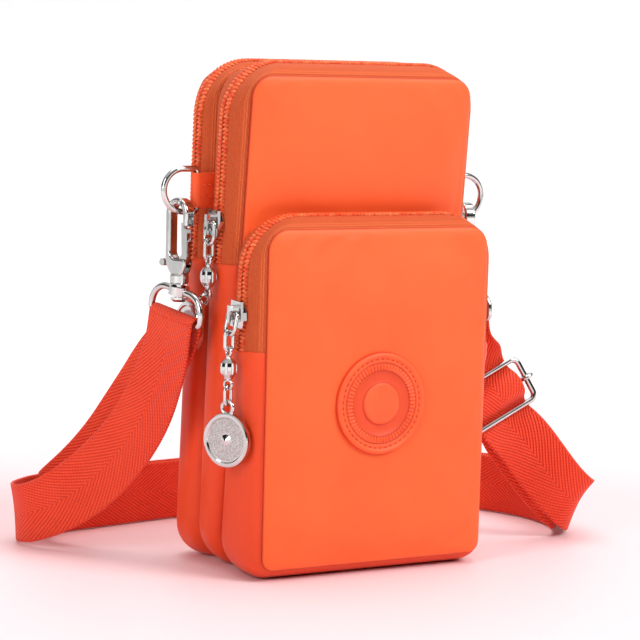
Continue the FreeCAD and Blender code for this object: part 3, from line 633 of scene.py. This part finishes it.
def settle(obj, held):
    """Let a panel's cloth settle over its filling, held along its seam, and keep the shape it comes to."""
    sewn = obj.vertex_groups.new(name="seam")
    sewn.add([v.index for v in obj.data.vertices if tuple(v.co) in held], 1.0, "ADD")
    cloth = obj.modifiers.new("cloth", "CLOTH")
    rules = cloth.settings
    rules.quality, rules.mass, rules.air_damping = 6, 0.02, 8.0
    rules.tension_stiffness = rules.compression_stiffness = 12.0
    rules.shear_stiffness, rules.bending_stiffness = 6.0, 0.6
    rules.vertex_group_mass, rules.shrink_min = "seam", -0.004
    rules.use_pressure, rules.uniform_pressure_force = True, 0.25
    rules.effector_weights.gravity = 0.3
    scene = bpy.context.scene
    cloth.point_cache.frame_start, cloth.point_cache.frame_end = 1, SETTLE_FRAMES
    for f in range(1, SETTLE_FRAMES + 1):
        scene.frame_set(f)
    still = bpy.data.meshes.new_from_object(obj.evaluated_get(bpy.context.evaluated_depsgraph_get()))
    obj.modifiers.clear()
    obj.data = still
    scene.frame_set(1)


# Rolled edge of the divider, as distance ahead of its seam and growth, and the height where its outlines meet
DIVIDER_ROLL = ((0, -8), (0, -1.2), (0.1, -0.9), (0.4, -0.75), (0.7, -0.9), (0.8, -1.2), (0.8, -8))
DIVIDER_MEET = 100


def divider():
    """The wall between the rear and middle compartments: only its rolled edge shows."""
    obj = piece("divider", SIDE_CLOTH_PAINTED_SHADE, ["divider_panel"])
    bm = bmesh.new()
    rows, uvs = [], []
    for depth, grow in DIVIDER_ROLL:
        plane = ahead(REAR_FRONT_SEAM, depth)
        loop = under_base(grow, DIVIDER_MEET, plane[2])[:-1]
        loop += over_top(TALL_TOP, grow, DIVIDER_MEET)[::-1][:-1]
        row = [laid(x, z, plane) for x, z in loop]
        rows.append(row)
        uvs.append([(p.x, p.z) for p in row])
    # Its growth serves as the distance from the seam, for the painted crease shade.
    grid(bm, rows, uvs, closed=True, seams=[[abs(grow) * MM] * len(row) for _, grow in DIVIDER_ROLL])
    fill(obj, bm)


# Badge

# Radius and height of the badge's rim, sewn groove, milled ring, sunken field and raised middle
BADGE_PROFILE = (
    (20.0, 0.0), (20.05, 0.6), (19.85, 1.2), (19.4, 1.65), (18.8, 1.85), (18.3, 1.75), (17.9, 1.4),
    (17.5, 1.2), (17.1, 1.22), (16.7, 1.35), (16.3, 1.35), (16.0, 1.1), (15.8, 0.9), (15.6, 1.2),
    (15.4, 1.6), (13.2, 1.6),
    (13.0, 1.3), (12.75, 0.85), (9.0, 0.85), (8.5, 0.9), (8.15, 1.2),
    (7.9, 1.65), (7.4, 1.85), (6.5, 1.85), (6.1, 1.75), (5.6, 1.7), (2.0, 1.7),
)
MILLED_IN, MILLED_OUT, NOTCH, RIDGES, RIDGE_CELLS = 13.0, 15.6, 0.6, 62, 6
SEWN_R, SEWN_H, SEWN_COUNT = 17.4, 1.22, 46
# How far the badge sinks into the crown
BADGE_SINK = 0.1
STITCH_CELLS, STITCH_SIDES = 6, 6


def badge():
    """A moulded badge: soft rim, sewn groove, milled ring, sunken bare field and raised middle."""
    obj = piece("badge_face", RUBBER, ["badge"])
    count = RIDGES * RIDGE_CELLS
    front = POCKET_FRONT_SEAM[0] - EDGE_T - CROWN + BADGE_SINK
    rows, uvs = [], []
    for r, h in BADGE_PROFILE:
        row = []
        for i in range(count):
            t = 2 * math.pi * i / count
            notch = NOTCH if MILLED_IN < r < MILLED_OUT and i % RIDGE_CELLS < RIDGE_CELLS // 2 else 0.0
            row.append(Vector((r * math.cos(t), front - h + notch, BADGE_Z + r * math.sin(t))) * MM)
        rows.append(row)
        uvs.append([(p.x, p.z) for p in row])
    bm = bmesh.new()
    made = grid(bm, rows, uvs, closed=True)
    bm.faces.new(made[-1])
    fill(obj, bm)
    stitches = []
    for i in range(SEWN_COUNT):
        t = 2 * math.pi * (i + 0.5) / SEWN_COUNT
        along = Vector((-math.sin(t), 0, math.cos(t)))
        spot = Vector((SEWN_R * math.cos(t), front - SEWN_H, BADGE_Z + SEWN_R * math.sin(t)))
        stitches.append((spot, along, Vector((0, -1, 0))))
    sew("badge_stitches", stitches, length=1.4, r=0.24, material=DEEP_THREAD)


def sew(name, stitches, length, r, material=THREAD):
    """Short threads that dip into the cloth at both ends; each has a place, a direction and a way out."""
    obj = piece(name, material)
    bm = bmesh.new()
    for place, along, out in stitches:
        side = along.cross(out)
        rows, uvs = [], []
        for i in range(STITCH_CELLS + 1):
            f = i / STITCH_CELLS * 2 - 1
            centre = place + along * (f * length / 2) + out * (r * 0.9 * (1 - f * f) - r * 0.5)
            girth = r * (1 - 0.45 * f ** 4)
            turns = [2 * math.pi * j / STITCH_SIDES for j in range(STITCH_SIDES)]
            rows.append([(centre + (side * math.cos(t) + out * math.sin(t)) * girth) * MM for t in turns])
            uvs.append([(i * MM, j * MM) for j in range(STITCH_SIDES)])
        grid(bm, rows, uvs, closed=True)
    fill(obj, bm)


# Webbing strap

ADJUSTER = Vector((82.5, 6.0, 61.0))
ADJUSTER_ALONG = Vector((0.42, -0.25, -0.87))
ADJUSTER_ACROSS = Vector((-0.88, 0.1, -0.46))
ADJUSTER_BACK = ADJUSTER_ALONG.cross(ADJUSTER_ACROSS).normalized()


def at_adjuster(along, back):
    return tuple(ADJUSTER + ADJUSTER_ALONG * along + ADJUSTER_BACK * back)


FLOOR_EDGE = (0, 0, -1)
ACROSS = tuple(ADJUSTER_ACROSS)

# Route points of the strap in millimetres, each with the direction of the edge that lies on the floor
OUTER_RUN = [
    ((-68.5, 10.7, 98.2), (0.238, -0.956, -0.174)),
    ((-68.7, 11.6, 93.0), (0.238, -0.956, -0.174)),
    ((-68.9, 13.0, 85.0), (0.27, -0.94, -0.22)),
    ((-69.8, 16.4, 75.5), (0.32, -0.88, -0.34)),
    ((-71.5, 22.0, 62.5), (0.37, -0.78, -0.50)),
    ((-74.5, 30.0, 50.0), (0.40, -0.65, -0.65)),
    ((-79.5, 39.0, 38.0), (0.42, -0.50, -0.76)),
    ((-86.5, 48.0, 27.5), (0.42, -0.30, -0.86)),
    ((-95.0, 57.0, 19.0), (0.40, -0.10, -0.91)),
    ((-103.5, 67.0, 14.0), (0.30, 0.05, -0.95)),
    ((-103.0, 81.0, 12.9), (0.12, 0.12, -0.98)),
    ((-89.0, 93.0, 12.9), FLOOR_EDGE),
    ((-60.0, 99.0, 12.9), FLOOR_EDGE),
    ((-25.0, 106.0, 12.9), FLOOR_EDGE),
    ((15.0, 110.0, 12.9), FLOOR_EDGE),
    ((60.0, 106.0, 12.9), FLOOR_EDGE),
    ((100.0, 92.0, 12.9), FLOOR_EDGE),
    ((124.0, 68.0, 12.9), FLOOR_EDGE),
    ((131.0, 40.0, 12.9), FLOOR_EDGE),
    ((129.0, 12.0, 12.9), (-0.08, 0.25, -0.96)),
    ((119.0, -7.0, 14.0), (-0.20, 0.45, -0.87)),
    ((108.5, -7.0, 22.0), (-0.35, 0.42, -0.83)),
    ((101.0, -2.5, 33.0), (-0.50, 0.35, -0.79)),
    ((94.5, 1.5, 43.0), (-0.68, 0.25, -0.69)),
    (at_adjuster(12.5, 2.7), ACROSS),
    (at_adjuster(7.0, 2.7), ACROSS),
    (at_adjuster(3.5, -4.2), ACROSS),
    (at_adjuster(-3.5, -4.2), ACROSS),
    (at_adjuster(-7.0, 2.7), ACROSS),
    (at_adjuster(-12.5, 2.7), ACROSS),
    ((74.4, 11.3, 77.5), (-0.75, 0.50, -0.38)),
    ((71.0, 10.4, 84.0), (-0.50, 0.80, -0.20)),
    ((69.9, 10.1, 90.0), (-0.242, 0.970, 0.0)),
    ((69.9, 10.1, 95.0), (-0.242, 0.970, 0.0)),
]

INNER_RUN = [
    ((-63.8, 11.9, 98.2), (0.238, -0.956, -0.174)),
    ((-64.0, 12.8, 93.0), (0.238, -0.956, -0.174)),
    ((-65.2, 17.0, 86.5), (0.28, -0.92, -0.28)),
    ((-67.2, 25.0, 78.0), (0.32, -0.86, -0.38)),
    ((-68.5, 34.0, 67.5), (0.36, -0.77, -0.52)),
    ((-70.5, 44.0, 56.0), (0.39, -0.66, -0.64)),
    ((-74.0, 53.0, 43.0), (0.40, -0.50, -0.76)),
    ((-79.5, 62.0, 31.0), (0.38, -0.30, -0.87)),
    ((-86.0, 71.0, 21.0), (0.28, -0.10, -0.95)),
    ((-88.0, 82.0, 14.5), (0.12, 0.0, -0.99)),
    ((-78.0, 91.0, 12.9), FLOOR_EDGE),
    ((-58.0, 94.5, 12.9), FLOOR_EDGE),
    ((-25.0, 101.5, 12.9), FLOOR_EDGE),
    ((15.0, 105.5, 12.9), FLOOR_EDGE),
    ((58.0, 101.5, 12.9), FLOOR_EDGE),
    ((97.0, 88.0, 12.9), FLOOR_EDGE),
    ((119.5, 66.0, 12.9), FLOOR_EDGE),
    ((126.5, 40.0, 12.9), FLOOR_EDGE),
    ((124.5, 15.0, 12.9), (-0.08, 0.25, -0.96)),
    ((115.5, -2.0, 14.5), (-0.20, 0.45, -0.87)),
    ((106.0, -2.5, 22.5), (-0.35, 0.42, -0.83)),
    ((98.0, 2.5, 33.8), (-0.50, 0.35, -0.79)),
    ((91.8, 6.0, 44.0), (-0.68, 0.25, -0.69)),
    (at_adjuster(14.0, 5.6), ACROSS),
    (at_adjuster(8.0, 5.4), ACROSS),
    (at_adjuster(4.0, 2.0), ACROSS),
    (at_adjuster(0.1, 2.0), ACROSS),
]


def spline_points(points):
    """Points along the smooth spline that has the given control points, all in metres."""
    curve = bpy.data.curves.new("route", "CURVE")
    curve.dimensions = "3D"
    curve.resolution_u = 16
    spline = curve.splines.new("NURBS")
    spline.points.add(len(points) - 1)
    for point, place in zip(spline.points, points):
        point.co = (*place, 1.0)
    spline.order_u = 3
    spline.use_endpoint_u = True
    obj = bpy.data.objects.new("route", curve)
    bpy.context.scene.collection.objects.link(obj)
    dg = bpy.context.evaluated_depsgraph_get()
    mesh = bpy.data.meshes.new_from_object(obj.evaluated_get(dg))
    line = [v.co.copy() for v in mesh.vertices]
    bpy.data.objects.remove(obj)
    bpy.data.curves.remove(curve)
    bpy.data.meshes.remove(mesh)
    return line


# Upper half of the webbing's section, in half widths and half thicknesses
SECTION = ((-1, 0.0), (-0.985, 0.62), (-0.955, 0.95), (-0.9, 1.0), (-0.45, 1.0), (0, 1.0),
           (0.45, 1.0), (0.9, 1.0), (0.955, 0.95), (0.985, 0.62), (1, 0.0))
# Places of the hooks' eyes, with their turn and tilt in degrees, and the tail of the right-hand fold
LEFT_EYE = ((-65.7, 9.425, 109.1), -76, 10)
RIGHT_EYE = ((67.6, 9.552, 106.1), -76, 0)
RIGHT_TAIL, TAIL_GAP = 9, 0.1
FOLD_CELLS, TAIL_CELLS = 16, 8


def ribbon(bm, line, edges, start=0.0):
    """Flat webbing along a line; edges are the directions across it. Returns its length in metres."""
    rows, uvs = [], []
    loop = [(a, t) for a, t in SECTION] + [(a, -t) for a, t in reversed(SECTION[1:-1])]
    at = lengths(line)
    for i, place in enumerate(line):
        along = (line[min(i + 1, len(line) - 1)] - line[max(i - 1, 0)]).normalized()
        across = edges[i] - along * edges[i].dot(along)
        across.normalize()
        out = along.cross(across)
        rows.append([place + (across * (a * STRAP_W / 2) + out * (t * STRAP_T / 2)) * MM for a, t in loop])
        uvs.append([(a * STRAP_W / 2 * MM, start + at[i]) for a, _ in loop])
    made = grid(bm, rows, uvs, closed=True)
    bm.faces.new(made[0])
    bm.faces.new(made[-1])
    return at[-1]


def strap_run(name, node, route):
    """One layer of the strap along its route."""
    middle = spline_points([Vector(p) * MM for p, _ in route])
    rim = spline_points([(Vector(p) + Vector(w).normalized() * STRAP_W / 2) * MM for p, w in route])
    edges = [(b - a).normalized() for a, b in zip(middle, rim)]
    obj = piece(name, WEBBING, [node])
    bm = bmesh.new()
    length = ribbon(bm, middle, edges)
    fill(obj, bm)


def hung(point, base, turn, tilt):
    """From a hook eye's own frame to its place: tilted in its plane, turned about the hook and moved."""
    tilted = Matrix.Rotation(math.radians(tilt), 3, "Y") @ Vector(point)
    return Matrix.Rotation(math.radians(turn), 3, "Z") @ tilted + Vector(base)


def eye_fold(name, node, base, turn, tilt, tail=0.0):
    """Webbing turned over the bar of a hook's eye; a tail inside draws in to the outer run it is sewn to."""
    r = EYE_WIRE + WIRE_GAP + STRAP_T / 2
    drops = [1 - i / TAIL_CELLS for i in range(TAIL_CELLS)] if tail else []
    draw = 2 * r - STRAP_T - TAIL_GAP
    local = [(0, -r + draw * math.sqrt(d) * d, -EYE_H - tail * d) for d in drops]
    turns = [math.pi * i / FOLD_CELLS for i in range(FOLD_CELLS + 1)]
    local += [(0, -r * math.cos(t), -EYE_H + r * math.sin(t)) for t in turns]
    line = [hung(p, base, turn, tilt) * MM for p in local]
    edge = hung((1, 0, 0), (0, 0, 0), turn, tilt)
    obj = piece(name, WEBBING, [node])
    bm = bmesh.new()
    ribbon(bm, line, [edge] * len(line))
    return fill(obj, bm)


def bar_fold():
    """The strap's end turned round the adjuster's bar."""
    y = ADJUSTER_BACK
    x = (y * ADJUSTER_ACROSS.dot(y) - ADJUSTER_ACROSS).normalized()
    z = x.cross(y)
    r = BAR_WIRE + WIRE_GAP + STRAP_T / 2
    turns = [math.pi * i / FOLD_CELLS for i in range(FOLD_CELLS + 1)]
    line = [(ADJUSTER - y * (r * math.cos(t)) + z * (r * math.sin(t))) * MM for t in turns]
    obj = piece("strap_end_fold", WEBBING, ["strap_bar_fold"])
    bm = bmesh.new()
    ribbon(bm, line, [x] * len(line))
    return fill(obj, bm)


def strap():
    left = eye_fold("left_fold", "left_strap_fold", *LEFT_EYE)
    right = eye_fold("right_fold", "right_strap_fold", *RIGHT_EYE, tail=RIGHT_TAIL)
    end = bar_fold()
    strap_run("strap_outer", "strap_outer_run", OUTER_RUN)
    strap_run("strap_inner", "strap_inner_run", INNER_RUN)


# Side tabs

# The run of the cloth from the seam towards the ring's bar, its section in half widths and half thicknesses,
# its gap to the wire, the neck before the bar, the angle that it goes round on each side, and its stitches
TAB_FOOT = ((49.5, -0.6), (51.5, -0.75), (53.5, -1.15))
TAB_SECTION = ((-1, 0.35), (-0.985, 0.8), (-0.93, 1.0), (-0.4, 1.0),
               (0.4, 1.0), (0.93, 1.0), (0.985, 0.8), (1, 0.35))
TAB_GAP, TAB_MIDDLE, TAB_HALF_T = 0.2, 0.5, 0.46
TAB_NECK, TAB_TURN, TAB_CELLS = (1.6, 0.06), 96, 18
TAB_ROW, TAB_STITCH_FROM, TAB_STITCH_STEP, TAB_STITCHES = 2.3, 4.9, 2.3, 3


def tab(word, side, z, bar_x):
    """A folded tab of cloth round the D-ring's bar, with two rows of stitches."""
    y = REAR_FRONT_SEAM[0] + REAR_FRONT_SEAM[1] * z - EDGE_T / 2
    obj = piece(f"{word}_loop", TAB_CLOTH_PAINTED_LIGHT, [f"{word}_tab"])
    r = RING_WIRE + TAB_GAP + TAB_MIDDLE
    foot = [*TAB_FOOT, (bar_x - TAB_NECK[0], -r + TAB_NECK[1])]
    turns = [math.radians(-TAB_TURN + 2 * TAB_TURN * i / TAB_CELLS) for i in range(TAB_CELLS + 1)]
    path = foot + [(bar_x + r * math.cos(a), r * math.sin(a)) for a in turns]
    path += [(x, -depth) for x, depth in reversed(foot)]
    spots = [Vector((x, depth, 0)) for x, depth in path]
    loop = [*TAB_SECTION, *((a, -k) for a, k in reversed(TAB_SECTION))]
    rows, uvs = [], []
    at = lengths(spots)
    for i, p in enumerate(spots):
        along = (spots[min(i + 1, len(spots) - 1)] - spots[max(i - 1, 0)]).normalized()
        out = Vector((along.y, -along.x, 0))
        row = []
        for a, k in loop:
            q = p + out * (TAB_HALF_T * k)
            row.append(Vector((side * q.x, y + q.y, z + a * TAB_W / 2)) * MM)
        rows.append(row)
        uvs.append([(at[i] * MM, a * TAB_W / 2 * MM) for a, _ in loop])
    bm = bmesh.new()
    # The seam distances give the tab's first end, where it goes into the seam, painted crease shade.
    grid(bm, rows, uvs, closed=True, seams=[[min(d, 0.3) * 0.01] * len(loop) for d in at])
    fill(obj, bm)
    stitches = []
    for dz in (-TAB_ROW, TAB_ROW):
        for i in range(TAB_STITCHES):
            x = side * (bar_x - TAB_STITCH_FROM + TAB_STITCH_STEP * i)
            for face in (-1, 1):
                spot = Vector((x, y + face * (r + TAB_HALF_T), z + dz))
                stitches.append((spot, Vector((1, 0, 0)), Vector((0, face, 0))))
    sew(f"{word}_loop_stitches", stitches, length=1.9, r=0.26)


# The object

# Height where the front panel's crown starts, above what the pocket covers, and the stretch over which it grows
COVERED_TO, COVERED_FADE = 142, 16
# Blasted field of a charm in metres: its radius, and how far it lies below the middle of the charm's box
CHARM_FIELD_R, CHARM_FIELD_DROP = 0.0084, 0.0022
METAL_ENDS = ("_ring", "_body", "_gate", "_pin", "_eye", "_slider", "_pull", "_link", "_bead", "_eyelet",
              "adjuster_frame", "adjuster_bar")

camera()
strap()
for name, (back, front, top, z_end) in COMPARTMENTS.items():
    gusset(name, back, front, z_end)
    tapes(name, back, front, top, z_end)
    coil(name, back, front, top, z_end)
panel("back_pad", ["back_panel"], TALL_TOP, BACK_SEAM, False)
panel("front_pad", ["front_panel"], TALL_TOP, MID_FRONT_SEAM, True,
      lambda x, z: CROWN * min(1.0, max(0.0, (z - COVERED_TO) / COVERED_FADE)))
panel("pocket_pad", ["pocket_panel"], POCKET_TOP, POCKET_FRONT_SEAM, True, badge_z=BADGE_Z)
divider()
badge()
tab("left", -1, z=148.0, bar_x=58.8)
tab("right", 1, z=145.0, bar_x=61.0)

for node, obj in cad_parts.items():
    if node.endswith("_charm"):
        low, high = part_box(node)
        centre = (Vector(low) + Vector(high)) / 2 - Vector((0, 0, CHARM_FIELD_DROP))
        finish = plated(f"{node}_plate", (tuple(centre), CHARM_FIELD_R))
    elif node.endswith(METAL_ENDS):
        finish = NICKEL
    else:
        continue
    obj.data.materials.clear()
    obj.data.materials.append(finish)


# Stage and light, in metres and watts

FLOOR_FRONT, FLOOR_BACK, FLOOR_HALF_W, SWEEP_R, WALL_TOP = -3.0, 1.2, 5, 1.0, 4.0
SWEEP_CELLS, SWEEP_STEP = 12, 7.5
# Distances from the pouch where the painted pink reflection round it starts to fade and is gone, and the glow of
# the front edge and of the floor far away
REFLECTION_FROM, REFLECTION_TO = 0.2, 0.75
GLOW_FULL, GLOW_END, GLOW_FRONT, GLOW_AWAY = -2.8, -1.4, 0.5, 0.2
LAMP_AIM = (0, 0, 0.1)
# Heights of the sky's direction: where the white wall ends, and where the dome brightens, with its strengths
WALL_FULL, WALL_END = 0.09, 0.15
DOME_FROM, DOME_TO, DOME_LOW, DOME_HIGH = 0.4, 0.8, 0.015, 0.7


def stage():
    """A pale floor that turns up into a backdrop, with a painted pink reflection of the pouch round it."""
    reflected_pink_dark, reflected_pink_light, white = (0.88, 0.655, 0.675, 1), (0.91, 0.685, 0.705, 1), (0.96, 0.955, 0.955, 1)
    s = Shader("paper", Roughness=0.5, Specular_IOR_Level=0.3, Emission_Color=(1, 1, 1, 1))
    far = s.add("VectorMath", {0: s.place("Object")}, operation="LENGTH").outputs["Value"]
    away = s.span(far, 0, 1, REFLECTION_FROM, REFLECTION_TO)
    # The pink round the pouch is a painted reflection of the pouch on the floor.
    tone = s.mix(away, s.mix(s.noise(3, 2), reflected_pink_dark, reflected_pink_light), white)
    normal = s.bump(s.noise(300, 2), 0.0002, 0.1)
    front = s.span(s.axes(s.place("Object"))[1], GLOW_FRONT, 0, GLOW_FULL, GLOW_END)
    glow = s.calc("MULTIPLY_ADD", away, GLOW_AWAY, front)
    paper = s.done(Base_Color=tone, Normal=normal, Emission_Strength=glow)
    mesh = bpy.data.meshes.new("floor")
    obj = bpy.data.objects.new("floor", mesh)
    bpy.context.scene.collection.objects.link(obj)
    mesh.materials.append(paper)
    bm = bmesh.new()
    turns = [math.radians(SWEEP_STEP * i) for i in range(1, SWEEP_CELLS + 1)]
    sweep = [(FLOOR_BACK + SWEEP_R * math.sin(a), SWEEP_R * (1 - math.cos(a))) for a in turns]
    profile = [(FLOOR_FRONT, 0.0), (FLOOR_BACK, 0.0), *sweep, (FLOOR_BACK + SWEEP_R, WALL_TOP)]
    rows = [[Vector((x, y, z)) for x in (-FLOOR_HALF_W, FLOOR_HALF_W)] for y, z in profile]
    grid(bm, rows, [[(p.x, p.y) for p in row] for row in rows])
    fill(obj, bm)
    obj.rotation_euler = (0, 0, math.radians(VIEW_AZIMUTH))
    obj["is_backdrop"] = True


def lamp(name, place, size, watts):
    """A rectangular lamp that shines on the pouch."""
    data = bpy.data.lights.new(name, "AREA")
    data.shape, data.size, data.size_y = "RECTANGLE", size[0], size[1]
    data.energy = watts
    obj = bpy.data.objects.new(name, data)
    obj.location = place
    obj.rotation_euler = (Vector(LAMP_AIM) - Vector(place)).to_track_quat("-Z", "Y").to_euler()
    bpy.context.scene.collection.objects.link(obj)


def studio():
    """A dome of light that is bright overhead; camera and metal also see a white wall up to the horizon."""
    world = bpy.data.worlds.new("studio")
    world.use_nodes = True
    tree = world.node_tree

    def add(kind, *values, **props):
        node = tree.nodes.new("ShaderNode" + kind)
        for key, value in props.items():
            setattr(node, key, value)
        for socket, value in zip(node.inputs, values):
            if isinstance(value, bpy.types.NodeSocket):
                tree.links.new(value, socket)
            else:
                socket.default_value = value
        return node.outputs

    height = add("SeparateXYZ", add("TexCoord")["Generated"])["Z"]
    rays = add("LightPath")
    bent = add("Math", rays["Is Glossy Ray"], rays["Is Transmission Ray"], operation="MAXIMUM")[0]
    seen = add("Math", rays["Is Camera Ray"], bent, operation="MAXIMUM")[0]
    low = add("MapRange", height, WALL_FULL, WALL_END, 1.0, 0.0)[0]
    wall = add("Math", low, seen, operation="MULTIPLY")[0]
    dome = add("MapRange", height, DOME_FROM, DOME_TO, DOME_LOW, DOME_HIGH)[0]
    sky = tree.nodes["Background"].inputs
    tree.links.new(add("Math", wall, dome, operation="MAXIMUM")[0], sky["Strength"])
    sky["Color"].default_value = (1.0, 0.99, 0.985, 1)
    bpy.context.scene.world = world


stage()
lamp("key", (0.75, -1.25, 1.25), size=(0.8, 0.8), watts=23)
lamp("fill", (-1.5, -0.6, 0.75), size=(0.5, 1.0), watts=10.5)
lamp("top", (0.1, 0.2, 1.6), size=(1.2, 1.2), watts=13)
studio()
bpy.context.scene.view_settings.view_transform = "Standard"

low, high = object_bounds()
